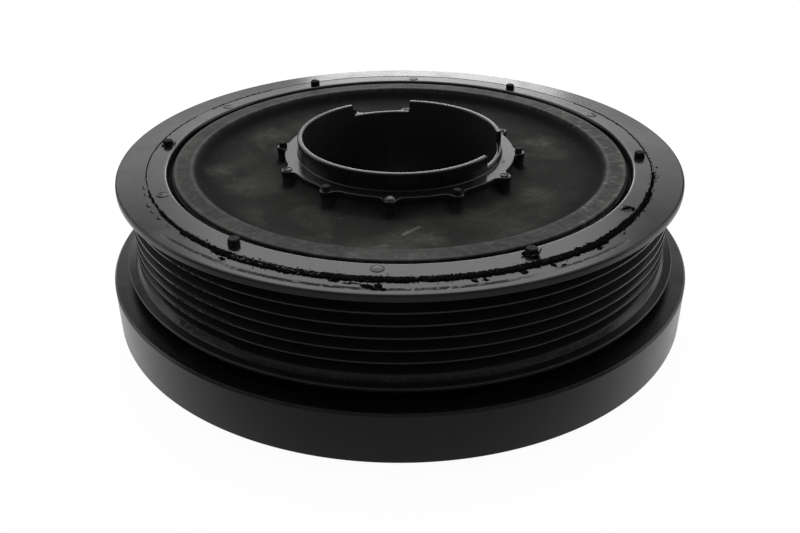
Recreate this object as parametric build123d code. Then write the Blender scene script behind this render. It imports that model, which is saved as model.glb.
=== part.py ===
from build123d import *

import os
from math import cos, radians, sin, tan

# Crankshaft torsional damper with a rubber-coupled belt rim.
# Axis along Z. Z = 0 is the face that bolts to the crankshaft; the belt rim and the
# coupling are above it. All sizes are in millimetres.

# --- crank hub -------------------------------------------------------------
REGISTER_BORE = 25.0            # pilot bore that centres the hub on the crankshaft
BOLT_CIRCLE = 40.0
BOLT_COUNT = 8
BOLT_HOLE = 8.8
BOLT_PHASE = 22.5               # degrees
BOSS_HEIGHT = 12.0              # clamping thickness under the bolt heads
BOSS_DIAMETER = 67.0
NECK_HEIGHT = 12.0              # spigot above the boss that the sleeve is pressed over
NECK_WALL = 3.1
WEB_BOTTOM = 3.5                # height of the relieved underside
WEB_THICKNESS = 7.0
WEB_BLEND = 2.5
HUB_RIM_DIAMETER = 124.0
HUB_RIM_WALL = 6.0
HUB_RIM_HEIGHT = 26.0
HUB_EDGE = 1.0                  # chamfer on turned corners

# --- damper rubber and inertia ring ------------------------------------------
DAMPER_RUBBER_WALL = 4.0
DAMPER_RUBBER_INSET = 1.5       # rubber stops short of the hub rim at both ends
INERTIA_DIAMETER = 181.0
INERTIA_FLANGE_HEIGHT = 15.4
INERTIA_EDGE = 0.6
LAND_DIAMETER = 148.8           # turned land that carries the bearing bush
LAND_HEIGHT = 16.0              # land above the flange

# --- bearing bush --------------------------------------------------------------
BUSH_WALL = 1.5
BUSH_FLANGE_WIDTH = 6.0
BUSH_END_GAP = 1.0              # the bush ends below the top of its land
BUSH_RUNNING_CLEARANCE = 0.06   # radial, between bush and belt rim

# --- belt rim ------------------------------------------------------------------
RIB_COUNT = 6
RIB_PITCH = 3.56
GROOVE_ANGLE = 40.0             # included angle of one groove, degrees
CREST_FLAT = 0.6
ROOT_FLAT = 0.9
CREST_DIAMETER = 163.2
BELT_FLANGE_DIAMETER = 171.8
LOWER_SHOULDER_HEIGHT = 3.67    # lower face of the rim to the first crest
LOWER_FLANGE_EDGE = 2.1         # height of the lower flange's outer edge
LOWER_FLANGE_LIFT = 0.8         # the lower flange's edge starts this far up
LOWER_SHELF_DROP = 0.75         # the shelf falls this much from shoulder to edge
UPPER_FLANGE_HEIGHT = 4.17      # last crest to the top of the rim
UPPER_FLANGE_EDGE = 2.1         # height of the upper flange's outer band
LIP_ROUND = 0.7
CREASE_DIAMETER = 167.4         # rolled crease in the upper face
CREASE_WIDTH = 1.0
CREASE_DEPTH = 0.12

# --- outer coupling ring -------------------------------------------------------
COUPLING_RING_DIAMETER = 154.3
COUPLING_RING_BORE = 141.8
COUPLING_RING_THICKNESS = 3.0
COUPLING_RING_RECESS = 0.4      # below the top of the belt rim
COUPLING_RING_BEVEL_WIDTH = 1.2
COUPLING_RING_BEVEL_DEPTH = 0.35

# --- stations shared by the ring, the sleeve and the rubber --------------------
STATION_COUNT = 12
STATION_PHASE = 25.8            # degrees; standing pegs sit on every second station
RING_HOLE_CIRCLE = 148.1
RING_HOLE = 3.3
RING_PEG_HEIGHT = 1.8
LOBE_CIRCLE = 73.9
LOBE_HOLE = 2.4
LOBE_PEG_HEIGHT = 1.5
FLUSH_PLUG_RISE = 0.12          # head of a trimmed plug above the metal

# --- inner sleeve --------------------------------------------------------------
SLEEVE_BORE = 60.2
SLEEVE_WALL = 1.6
SLEEVE_FLANGE_RISE = 0.9        # flange face above the coupling ring's face
SLEEVE_FLANGE_THICKNESS = 1.8
SLEEVE_FLANGE_DIAMETER = 71.6   # between the lobes
COLLAR_HEIGHT = 5.3             # rim of the sleeve above its flange
LOBE_RADIUS = 1.95
LOBE_BLEND = 2.6
COLLAR_BLEND = 0.8
COLLAR_EDGE_ROUND = 0.45
NOTCH_CENTRES = (102.5, -17.0)  # degrees
NOTCH_SPAN = 37.4               # degrees
NOTCH_DEPTH = 3.75

# --- coupling membrane ---------------------------------------------------------
BEAD_GAP = 1.5                  # open groove between the rubber bead and the ring
BEAD_GAP_FLOOR = 0.6            # rubber climbs this far up the ring's bore
BEAD_DROP = 0.3                 # bead crown below the ring's face
BEAD_WIDTH = 4.2                # flat crown of the bead
BEAD_SLOPE_WIDTH = 4.0
MEMBRANE_DISH = 4.6             # disc below the ring's face
MEMBRANE_THICKNESS = 4.4
MEMBRANE_WALL = 3.2             # rubber bonded round the sleeve, under its flange
FOOT_THICKNESS = 2.8            # rubber bonded under the coupling ring
FOOT_CLEARANCE = 0.3            # between the rubber foot and the belt rim
PILLAR_INSET = 0.1              # rubber pillars are this much smaller than the lobes

# --- seam sealant --------------------------------------------------------------
SEAM_WIDTH = 1.1
SEAM_DEPTH = 1.1
SEALANT_CROWN = 0.35

# --- heights and radii that follow from the sizes above ------------------------
rim_bottom = INERTIA_FLANGE_HEIGHT + BUSH_WALL
first_crest = rim_bottom + LOWER_SHOULDER_HEIGHT
last_crest = first_crest + RIB_COUNT * RIB_PITCH
rim_top = last_crest + UPPER_FLANGE_HEIGHT
ring_top = rim_top - COUPLING_RING_RECESS
ring_bottom = ring_top - COUPLING_RING_THICKNESS
flange_top = ring_top + SLEEVE_FLANGE_RISE
flange_bottom = flange_top - SLEEVE_FLANGE_THICKNESS
collar_top = flange_top + COLLAR_HEIGHT
disc_top = ring_top - MEMBRANE_DISH

hub_rim_radius = HUB_RIM_DIAMETER / 2
neck_radius = SLEEVE_BORE / 2
sleeve_radius = neck_radius + SLEEVE_WALL
inertia_bore_radius = hub_rim_radius + DAMPER_RUBBER_WALL
land_radius = LAND_DIAMETER / 2
land_top = INERTIA_FLANGE_HEIGHT + LAND_HEIGHT
rim_bore_radius = land_radius + BUSH_WALL + BUSH_RUNNING_CLEARANCE
crest_radius = CREST_DIAMETER / 2
flange_radius = BELT_FLANGE_DIAMETER / 2
seat_radius = COUPLING_RING_DIAMETER / 2
ring_bore_radius = COUPLING_RING_BORE / 2
hole_circle_radius = RING_HOLE_CIRCLE / 2
lobe_circle_radius = LOBE_CIRCLE / 2
lobe_root_radius = SLEEVE_FLANGE_DIAMETER / 2
seam_outer_radius = seat_radius + SEAM_WIDTH


def section(corners, rounds=()):
    """Closed outline in (radius, height), with some corners rounded."""
    outline = make_face(Polyline(*corners, close=True))
    for corner, radius in rounds:
        vertex = outline.vertices().sort_by_distance(Vector(*corner))[0]
        outline = fillet(vertex, radius)
    return outline


def turned(corners, rounds=()):
    """Solid of revolution about the damper's axis."""
    return revolve(Plane.XZ * section(corners, rounds), Axis.Z, 360)


def prism(profile, bottom, top):
    """Flat profile raised between two heights."""
    return extrude(Pos(0, 0, bottom) * profile, top - bottom)


def station_angles(standing):
    """Angles of the stations with a standing peg, or of those trimmed flush."""
    step = 360 / STATION_COUNT
    first = 1 if standing else 0
    return [STATION_PHASE + step * n for n in range(first, STATION_COUNT, 2)]


def on_circle(radius, angles):
    """Locations at given angles on a circle about the axis."""
    return [Pos(radius * cos(radians(a)), radius * sin(radians(a))) * Rot(Z=a) for a in angles]


def discs(diameter, circle_radius, angles, bottom, top):
    """Row of round pins or drills between two heights."""
    return [prism(place * Circle(diameter / 2), bottom, top)
            for place in on_circle(circle_radius, angles)]


def crank_hub():
    """Hub: bolted boss, relieved web, spigot for the sleeve and rim for the rubber."""
    bore = REGISTER_BORE / 2
    boss = BOSS_DIAMETER / 2
    neck_bore = neck_radius - NECK_WALL
    neck_top = BOSS_HEIGHT + NECK_HEIGHT
    web_top = WEB_BOTTOM + WEB_THICKNESS
    rim_inner = hub_rim_radius - HUB_RIM_WALL
    corners = [
        (bore, HUB_EDGE),
        (bore + HUB_EDGE, 0),
        (boss, 0),
        (boss, WEB_BOTTOM),
        (rim_inner, WEB_BOTTOM),
        (rim_inner, 0),
        (hub_rim_radius - HUB_EDGE, 0),
        (hub_rim_radius, HUB_EDGE),
        (hub_rim_radius, HUB_RIM_HEIGHT - HUB_EDGE),
        (hub_rim_radius - HUB_EDGE, HUB_RIM_HEIGHT),
        (rim_inner, HUB_RIM_HEIGHT),
        (rim_inner, web_top),
        (boss, web_top),
        (boss, BOSS_HEIGHT),
        (neck_radius, BOSS_HEIGHT),
        (neck_radius, neck_top),
        (neck_bore + HUB_EDGE, neck_top),
        (neck_bore, neck_top - HUB_EDGE),
        (neck_bore, BOSS_HEIGHT),
        (bore, BOSS_HEIGHT),
    ]
    rounds = [((boss, WEB_BOTTOM), WEB_BLEND), ((rim_inner, WEB_BOTTOM), WEB_BLEND),
              ((rim_inner, web_top), WEB_BLEND)]
    hub = turned(corners, rounds)
    bolt_angles = [BOLT_PHASE + 360 / BOLT_COUNT * n for n in range(BOLT_COUNT)]
    return hub - discs(BOLT_HOLE, BOLT_CIRCLE / 2, bolt_angles, 0, BOSS_HEIGHT)


def damper_rubber():
    """Rubber track pressed between the hub rim and the inertia ring."""
    bottom = DAMPER_RUBBER_INSET
    top = HUB_RIM_HEIGHT - DAMPER_RUBBER_INSET
    return turned([(hub_rim_radius, bottom), (inertia_bore_radius, bottom),
                   (inertia_bore_radius, top), (hub_rim_radius, top)])


def inertia_ring():
    """Cast ring: wide flange below, turned land for the bush above."""
    outer = INERTIA_DIAMETER / 2
    edge = INERTIA_EDGE
    shelf = INERTIA_FLANGE_HEIGHT
    return turned([
        (inertia_bore_radius + edge, 0),
        (outer - edge, 0),
        (outer, edge),
        (outer, shelf - edge),
        (outer - edge, shelf),
        (land_radius, shelf),
        (land_radius, land_top - edge),
        (land_radius - edge, land_top),
        (inertia_bore_radius + edge, land_top),
        (inertia_bore_radius, land_top - edge),
        (inertia_bore_radius, edge),
    ])


def bearing_bush():
    """Flanged plain bush: the belt rim is guided on it and rests on its flange."""
    outer = land_radius + BUSH_WALL
    flange_outer = outer + BUSH_FLANGE_WIDTH
    return turned([
        (land_radius, INERTIA_FLANGE_HEIGHT),
        (flange_outer, INERTIA_FLANGE_HEIGHT),
        (flange_outer, rim_bottom),
        (outer, rim_bottom),
        (outer, land_top - BUSH_END_GAP),
        (land_radius, land_top - BUSH_END_GAP),
    ])


def groove_corners():
    """Corners of the belt grooves, from the lowest crest to the highest."""
    half_root = ROOT_FLAT / 2
    half_mouth = (RIB_PITCH - CREST_FLAT) / 2
    root_radius = crest_radius - (half_mouth - half_root) / tan(radians(GROOVE_ANGLE / 2))
    corners = []
    for n in range(RIB_COUNT):
        middle = first_crest + RIB_PITCH * (n + 0.5)
        corners += [
            (crest_radius, middle - half_mouth),
            (root_radius, middle - half_root),
            (root_radius, middle + half_root),
            (crest_radius, middle + half_mouth),
        ]
    return corners


def pulley_rim():
    """Belt rim: two flanges, V grooves, bush bore and the seat of the coupling ring."""
    edge_low = rim_bottom + LOWER_FLANGE_LIFT
    edge_high = edge_low + LOWER_FLANGE_EDGE
    band_low = rim_top - UPPER_FLANGE_EDGE
    crease = CREASE_DIAMETER / 2
    half_crease = CREASE_WIDTH / 2
    corners = [
        (rim_bore_radius, rim_bottom),
        (crest_radius, rim_bottom),
        (flange_radius, edge_low),
        (flange_radius, edge_high),
        (crest_radius + CREST_FLAT, edge_high + LOWER_SHELF_DROP),
        *groove_corners(),
        (flange_radius, band_low),
        (flange_radius, rim_top),
        (crease + half_crease, rim_top),
        (crease, rim_top - CREASE_DEPTH),
        (crease - half_crease, rim_top - CREASE_DEPTH / 2),
        (seam_outer_radius, rim_top - CREASE_DEPTH / 2),
        (seat_radius, rim_top - CREASE_DEPTH / 2 - SEAM_DEPTH),
        (seat_radius, ring_bottom),
        (rim_bore_radius, ring_bottom),
    ]
    return turned(corners, [((flange_radius, rim_top), LIP_ROUND),
                            ((flange_radius, edge_high), LIP_ROUND)])


def coupling_outer_ring():
    """Flat ring pressed into the belt rim, with a bevelled bore and a hole per station."""
    bevel_radius = ring_bore_radius + COUPLING_RING_BEVEL_WIDTH
    ring = turned([
        (ring_bore_radius, ring_bottom),
        (seat_radius, ring_bottom),
        (seat_radius, ring_top),
        (bevel_radius, ring_top),
        (ring_bore_radius, ring_top - COUPLING_RING_BEVEL_DEPTH),
    ])
    angles = station_angles(True) + station_angles(False)
    return ring - discs(RING_HOLE, hole_circle_radius, angles, ring_bottom, ring_top)


def lobed_profile(root_radius, lobe_radius, blend):
    """Disc with one rounded lobe at each station, blended into scalloped gaps."""
    profile = Rot(Z=STATION_PHASE) * Circle(root_radius)
    for place in on_circle(lobe_circle_radius, station_angles(True) + station_angles(False)):
        profile += place * Circle(lobe_radius)
    junctions = [v for v in profile.vertices()
                 if abs(Vector(*v).length - root_radius) < lobe_radius / 100]
    return fillet(junctions, blend)


def notch(centre):
    """Cutter for one notch in the sleeve's collar."""
    bottom = collar_top - NOTCH_DEPTH
    margin = SLEEVE_WALL
    blank = Plane.XZ * section([
        (neck_radius - margin, bottom), (sleeve_radius + margin, bottom),
        (sleeve_radius + margin, collar_top + margin), (neck_radius - margin, collar_top + margin),
    ])
    return Rot(Z=centre - NOTCH_SPAN / 2) * revolve(blank, Axis.Z, NOTCH_SPAN)


def inner_sleeve():
    """Sleeve: tube over the hub spigot, lobed flange and notched collar."""
    collar = turned([
        (neck_radius, BOSS_HEIGHT),
        (sleeve_radius, BOSS_HEIGHT),
        (sleeve_radius, flange_top),
        (sleeve_radius + COLLAR_BLEND, flange_top),
        (sleeve_radius, flange_top + COLLAR_BLEND),
        (sleeve_radius, collar_top),
        (neck_radius, collar_top),
    ], [((sleeve_radius, collar_top), COLLAR_EDGE_ROUND),
        ((neck_radius, collar_top), COLLAR_EDGE_ROUND)])
    profile = lobed_profile(lobe_root_radius, LOBE_RADIUS, LOBE_BLEND) - Circle(neck_radius)
    flange = prism(profile, flange_bottom, flange_top)
    angles = station_angles(True) + station_angles(False)
    holes = discs(LOBE_HOLE, lobe_circle_radius, angles, flange_bottom, flange_top)
    return collar + flange - holes - [notch(centre) for centre in NOTCH_CENTRES]


def membrane_disc():
    """Turned part of the rubber: bead, slope, disc, wall round the sleeve and foot."""
    bead_outer = ring_bore_radius - BEAD_GAP
    bead_inner = bead_outer - BEAD_WIDTH
    slope_foot = bead_inner - BEAD_SLOPE_WIDTH
    crown = ring_top - BEAD_DROP
    disc_bottom = disc_top - MEMBRANE_THICKNESS
    foot_outer = rim_bore_radius - FOOT_CLEARANCE
    foot_bottom = ring_bottom - FOOT_THICKNESS
    wall_outer = sleeve_radius + MEMBRANE_WALL
    gap_floor = ring_bottom + BEAD_GAP_FLOOR
    corners = [
        (sleeve_radius, disc_bottom),
        (slope_foot, disc_bottom),
        (bead_outer, foot_bottom),
        (foot_outer, foot_bottom),
        (foot_outer, ring_bottom),
        (ring_bore_radius, ring_bottom),
        (ring_bore_radius, gap_floor),
        (bead_outer, gap_floor),
        (bead_outer, crown),
        (bead_inner, crown),
        (slope_foot, disc_top),
        (wall_outer, disc_top),
        (wall_outer, flange_bottom),
        (sleeve_radius, flange_bottom),
    ]
    return turned(corners, [((bead_outer, crown), BEAD_WIDTH / 5),
                            ((bead_inner, crown), BEAD_SLOPE_WIDTH / 2),
                            ((slope_foot, disc_top), BEAD_SLOPE_WIDTH / 2)])


def pillars():
    """Rubber pillars that rise from the disc under the sleeve's lobes."""
    radius = LOBE_RADIUS - PILLAR_INSET
    depth = lobe_circle_radius - sleeve_radius - PILLAR_INSET
    solids = []
    for place in on_circle(lobe_circle_radius, station_angles(True) + station_angles(False)):
        profile = place * (Circle(radius) + Pos(-depth / 2, 0) * Rectangle(depth, 2 * radius))
        solids.append(prism(profile, disc_top - MEMBRANE_THICKNESS / 2, flange_bottom))
    return solids


def coupling_membrane():
    """Rubber spring, moulded through the ring and the sleeve with pegs and plugs."""
    rubber = membrane_disc() + pillars()
    flush_ring = ring_top + FLUSH_PLUG_RISE
    flush_lobe = flange_top + FLUSH_PLUG_RISE
    tall_ring = ring_top + RING_PEG_HEIGHT
    tall_lobe = flange_top + LOBE_PEG_HEIGHT
    for standing, ring_end, lobe_end in ((True, tall_ring, tall_lobe),
                                         (False, flush_ring, flush_lobe)):
        angles = station_angles(standing)
        rubber += discs(RING_HOLE, hole_circle_radius, angles, ring_bottom, ring_end)
        rubber += discs(LOBE_HOLE, lobe_circle_radius, angles, flange_bottom, lobe_end)
    return rubber


def seam_sealant():
    """Sealant in the bevelled seam between the belt rim and the coupling ring."""
    rim_face = rim_top - CREASE_DEPTH / 2
    return turned([
        (seat_radius, rim_face - SEAM_DEPTH),
        (seam_outer_radius, rim_face),
        (seam_outer_radius - SEAM_WIDTH / 3, rim_face + SEALANT_CROWN),
        (seat_radius, rim_face + SEALANT_CROWN / 2),
    ])


SUB_PARTS = {
    "crank_hub": crank_hub,
    "damper_rubber": damper_rubber,
    "inertia_ring": inertia_ring,
    "bearing_bush": bearing_bush,
    "pulley_rim": pulley_rim,
    "coupling_outer_ring": coupling_outer_ring,
    "coupling_membrane": coupling_membrane,
    "inner_sleeve": inner_sleeve,
    "seam_sealant": seam_sealant,
}

os.makedirs("parts", exist_ok=True)
for node, build in SUB_PARTS.items():
    export_step(build(), f"parts/{node}.step")
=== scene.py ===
"""Looks of a crankshaft torsional damper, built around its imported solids.

The belt rim, the coupling, the sleeve and the inertia ring are turned again with rounded
edges. The rubber gets its pillars, pegs, plugs and torn flash, the seam its sealant and the
damper's rubber track its hollow ends. The hub and the bush are shown from their solids.
Lengths are in millimetres and angles in degrees, unless a name says otherwise.
"""
import logging
import math
from dataclasses import dataclass
from enum import Enum
from typing import Any, Callable, Sequence

import bmesh
import bpy
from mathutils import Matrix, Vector, noise


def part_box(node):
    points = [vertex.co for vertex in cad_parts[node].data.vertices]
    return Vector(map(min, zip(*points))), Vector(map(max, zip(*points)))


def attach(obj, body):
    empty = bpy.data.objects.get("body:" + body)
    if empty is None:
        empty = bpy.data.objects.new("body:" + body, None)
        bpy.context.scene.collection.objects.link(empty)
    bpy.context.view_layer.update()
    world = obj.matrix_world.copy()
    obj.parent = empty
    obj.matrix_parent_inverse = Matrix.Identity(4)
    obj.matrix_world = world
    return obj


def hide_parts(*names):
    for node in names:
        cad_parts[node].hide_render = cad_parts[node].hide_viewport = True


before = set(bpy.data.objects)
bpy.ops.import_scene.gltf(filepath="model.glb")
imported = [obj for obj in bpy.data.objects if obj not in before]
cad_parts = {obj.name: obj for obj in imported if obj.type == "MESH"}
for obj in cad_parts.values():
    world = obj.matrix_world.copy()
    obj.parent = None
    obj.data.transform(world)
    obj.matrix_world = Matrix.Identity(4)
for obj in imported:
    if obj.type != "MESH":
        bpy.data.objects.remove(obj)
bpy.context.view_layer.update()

MM = 0.001
AROUND = 288  # facets round a turned piece
AROUND_WIDE = 360  # and round the widest one
SHARP_ANGLE = math.radians(40)
MERGED = 1e-7  # metres between two points that become one
WELDED = 2e-6  # the same, where the rim's outline is put together
BESIDE = 0.08  # short edge beside an arc, which keeps the flat face flat
PAINTED_UP = 0.3  # the coupling ring stands this much higher than its solid
AXIS = 0.01  # radius that stands for the axis itself
SUNK = 0.5  # how deep pegs and plugs are rooted in the metal
DUST = (0.22, 0.22, 0.21)

Point = tuple[float, float]
Corner = tuple[float, ...]  # out, up and the radius that rounds the corner, if any
Colour = tuple[float, float, float]
Piece = bpy.types.Object
Material = bpy.types.Material


# --- node trees written as expressions ---


def sum_of(operation: str, reflected: bool = False) -> Callable[..., "Sock"]:
    """Method of a socket that adds one Math node.

    Args:
        operation: Name of the Math node's operation.
        reflected: Whether the socket is the second term.

    Returns:
        The method. It takes the other term and gives the result.
    """
    def method(self: "Sock", other: Any = 0.0) -> "Sock":
        """Adds the node to the socket's own graph."""
        first, second = (other, self) if reflected else (self, other)
        return self.graph.add("ShaderNodeMath", {0: first, 1: second}, operation=operation)
    return method


class Sock:
    """Output socket of a node, with the arithmetic that the finishes use."""

    def __init__(self, graph: "Graph", socket: bpy.types.NodeSocket) -> None:
        """Keeps the socket and the graph that its sums are added to."""
        self.graph, self.socket = graph, socket

    __add__ = __radd__ = sum_of("ADD")
    __sub__, __rsub__ = sum_of("SUBTRACT"), sum_of("SUBTRACT", reflected=True)
    __mul__ = __rmul__ = sum_of("MULTIPLY")
    __truediv__, __rtruediv__ = sum_of("DIVIDE"), sum_of("DIVIDE", reflected=True)
    __pow__ = sum_of("POWER")
    larger, smaller, size = sum_of("MAXIMUM"), sum_of("MINIMUM"), sum_of("ABSOLUTE")
    sine, cosine, arctan = sum_of("SINE"), sum_of("COSINE"), sum_of("ARCTAN2")

    def across(self, other: "Sock") -> "Sock":
        """Length of the straight run that these two legs span."""
        return (self * self + other * other) ** 0.5

    def ramp(self, low: float, high: float) -> "Sock":
        """Smooth step from 0 at low to 1 at high, where low may be the larger."""
        start, end, out = (low, high, (0.0, 1.0)) if low < high else (high, low, (1.0, 0.0))
        return self.graph.add("ShaderNodeMapRange", dict(enumerate((self, start, end, *out))),
                              interpolation_type="SMOOTHSTEP")


class Graph:
    """A node tree, for a material or for geometry, with one way to add any node."""

    def __init__(self, tree: bpy.types.NodeTree) -> None:
        """Keeps the tree."""
        self.tree = tree

    def node(self, kind: str, sockets: dict[Any, Any] | None = None,
             **settings: Any) -> bpy.types.Node:
        """Adds a node.

        Args:
            kind: The node's type.
            sockets: Values or links by the socket's name or place.
            settings: Properties, set before the sockets are filled.

        Returns:
            The node.
        """
        made = self.tree.nodes.new(kind)
        for name, value in settings.items():
            setattr(made, name, value)
        for key, value in (sockets or {}).items():
            if isinstance(value, Sock):
                self.tree.links.new(value.socket, made.inputs[key])
            else:
                made.inputs[key].default_value = value
        return made

    def add(self, kind: str, sockets: dict[Any, Any] | None = None, output: int | str = 0,
            **settings: Any) -> Sock:
        """Adds a node and gives one of its outputs, by its name or place."""
        return Sock(self, self.node(kind, sockets, **settings).outputs[output])

    def blend(self, share: Any, plain: Any, other: Any) -> Sock:
        """Mix of two colours, where the share is how much of the other one shows."""
        plain, other = (c if isinstance(c, Sock) else (*c, 1.0) for c in (plain, other))
        return self.add("ShaderNodeMix", {0: share, 6: plain, 7: other}, 2, data_type="RGBA")

    def vector(self, x: Any, y: Any, z: Any) -> Sock:
        """Vector from three values."""
        return self.add("ShaderNodeCombineXYZ", {0: x, 1: y, 2: z})

    def scaled(self, vector: Sock, size: Any) -> Sock:
        """Vector times a value."""
        return self.add("ShaderNodeVectorMath", {0: vector, "Scale": size}, operation="SCALE")

    def cloud(self, place: Sock, grain: float, detail: float = 3.0, warp: float = 0.0) -> Sock:
        """Noise about 0.5, whose largest features are one grain wide, in millimetres."""
        return self.add("ShaderNodeTexNoise", {"Vector": place, "Scale": 1 / (grain * MM),
                                               "Detail": detail, "Distortion": warp})


# --- finishes ---


@dataclass(frozen=True)
class Place:
    """Where a point of a piece is: its coordinates in metres, radius, height and bearing."""

    graph: Graph
    point: Sock
    x: Sock
    y: Sock
    height: Sock
    radius: Sock
    bearing: Sock

    @classmethod
    def of(cls, graph: Graph) -> "Place":
        """Reads the place from the piece's own coordinates.

        Args:
            graph: The material's tree.

        Returns:
            The place.
        """
        point = graph.add("ShaderNodeTexCoord", output="Object")
        split = graph.node("ShaderNodeSeparateXYZ", {0: point})
        x, y, z = (Sock(graph, split.outputs[n]) for n in range(3))
        return cls(graph, point, x, y, z, x.across(y), y.arctan(x))

    def cloud(self, grain: float, detail: float = 3.0, warp: float = 0.0) -> Sock:
        """Noise that is fixed to the piece."""
        return self.graph.cloud(self.point, grain, detail, warp)

    def turning(self, grain: float, length: float) -> Sock:
        """Turning lines: noise with a width in millimetres and a length in radians."""
        drawn_out = self.graph.vector(self.radius * (1 / grain), self.height * (1 / grain),
                                      self.bearing * (MM / length))
        return self.graph.cloud(drawn_out, 1.0, 2.0)


@dataclass(frozen=True)
class Edge:
    """Circle along which a coat is worn thin: its radius, height and reach."""

    radius: float
    height: float
    reach: float

    def mask(self, place: Place) -> Sock:
        """Mask that fades away from the circle."""
        away = (place.radius - self.radius * MM).across(place.height - self.height * MM)
        return away.ramp(self.reach * MM, 0.0)


@dataclass(frozen=True)
class Mark:
    """Patch between two bearings and two radii: a scored line, a rub or a smear."""

    bearing: float
    half_angle: float
    radius: float
    half_width: float
    strength: float = 1.0

    def mask(self, place: Place) -> Sock:
        """Mask of the patch, soft at its borders.

        Args:
            place: The point's place.

        Returns:
            A mask from 0 to 1.
        """
        swing = (place.bearing - math.radians(self.bearing)).size()
        swing = swing.smaller(2 * math.pi - swing)
        away = (place.radius - self.radius * MM).size()
        reach, width = math.radians(self.half_angle), self.half_width * MM
        return swing.ramp(reach, reach * 0.6) * away.ramp(width, width * 0.4) * self.strength


@dataclass(frozen=True)
class Stroke:
    """Straight rub: its two ends, half breadth and strength."""

    start: Point
    end: Point
    breadth: float
    strength: float = 1.0

    def mask(self, place: Place) -> Sock:
        """Mask of the rub, soft at its borders.

        Args:
            place: The point's place.

        Returns:
            A mask from 0 to 1.
        """
        (x, y), run = self.start, Vector(self.end) - Vector(self.start)
        dx, dy = place.x - x * MM, place.y - y * MM
        share = (dx * run.x + dy * run.y) * (1 / (MM * run.length_squared))
        share = share.larger(0.0).smaller(1.0)
        away = (dx - share * (run.x * MM)).across(dy - share * (run.y * MM))
        return away.ramp(self.breadth * MM, self.breadth * 0.3 * MM) * self.strength


def total(marks: Sequence[Any], place: Place) -> Any:
    """Sum of the masks of the marks, or 0 without any."""
    return sum((mark.mask(place) for mark in marks), 0.0)


def new_material(name: str) -> tuple[Material, Place]:
    """Empty material.

    Args:
        name: The material's name.

    Returns:
        The material, and the place that its masks start from.
    """
    material = bpy.data.materials.new(name)
    material.use_nodes = True
    material.node_tree.nodes.clear()
    return material, Place.of(Graph(material.node_tree))


def close_material(graph: Graph, colour: Any, roughness: Any, height: Sock, depth: float,
                   **constants: Any) -> None:
    """Ends a material in a Principled shader with a bump.

    Args:
        graph: The material's tree.
        colour: Base colour.
        roughness: Roughness.
        height: Relief, 0 to 1.
        depth: Height of the relief in millimetres.
        constants: Other sockets of the shader, with the same value all over.
    """
    bump = graph.add("ShaderNodeBump", {"Strength": 1.0, "Distance": depth * MM, "Height": height})
    sockets = {"Base Color": colour, "Roughness": roughness, "Normal": bump}
    sockets.update({name.replace("_", " "): value for name, value in constants.items()})
    shader = graph.add("ShaderNodeBsdfPrincipled", sockets)
    graph.node("ShaderNodeOutputMaterial", {"Surface": shader})


@dataclass(frozen=True)
class Coat:
    """Black electro-coat over turned or pressed metal, with dust, smudges and worn edges."""

    name: str
    colour: Colour = (0.010, 0.010, 0.011)
    roughness: float = 0.30
    peel: float = 0.006  # depth of the orange peel
    turning: float = 0.3  # share of turning lines in the relief
    dust: float = 0.25
    bare: Colour = (0.09, 0.09, 0.092)
    edges: tuple[Edge, ...] = ()  # where the coat is thin
    wear: float = 0.25  # share of the bare metal that shows there
    tint: tuple[float, ...] = (1.0, 0.97, 1.04, 1.0)
    scored: tuple[Mark, ...] = ()  # dark broken lines
    rubbed: tuple[Mark, ...] = ()  # pale rubs, or a painted sheen where a piece is given one
    groove: float = 60.0  # depth of a scored line, in depths of the peel

    def build(self) -> Material:
        """Builds the coat.

        Returns:
            The material.
        """
        material, place = new_material(self.name)
        graph = place.graph
        peel, lines = place.cloud(0.9, 2.0), place.turning(0.16, 0.5)
        smudge = place.cloud(14.0, 5.0, 0.8).ramp(0.42, 0.72)
        dust = place.cloud(0.45, 1.0).ramp(0.70, 0.78) * place.cloud(9.0, 2.0).ramp(0.45, 0.65)
        colour = graph.blend((dust * 0.6 + smudge * 0.12) * self.dust, self.colour, DUST)
        if self.edges:
            worn = place.cloud(1.3, 4.0).ramp(0.35, 0.75) * total(self.edges, place)
            colour = graph.blend(worn * self.wear, colour, self.bare)
        cut = total(self.scored, place) * place.cloud(1.1, 2.0).ramp(0.30, 0.55)
        rubs = total(self.rubbed, place)
        if self.rubbed:
            colour = graph.blend(rubs, colour, self.bare)
        roughness = smudge * 0.06 + dust * 0.2 + rubs * 0.25 + cut * 0.7 + self.roughness
        relief = peel * (1 - self.turning) + lines * self.turning - cut * self.groove
        close_material(graph, colour, roughness, relief, self.peel, Specular_Tint=self.tint)
        return material


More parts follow.
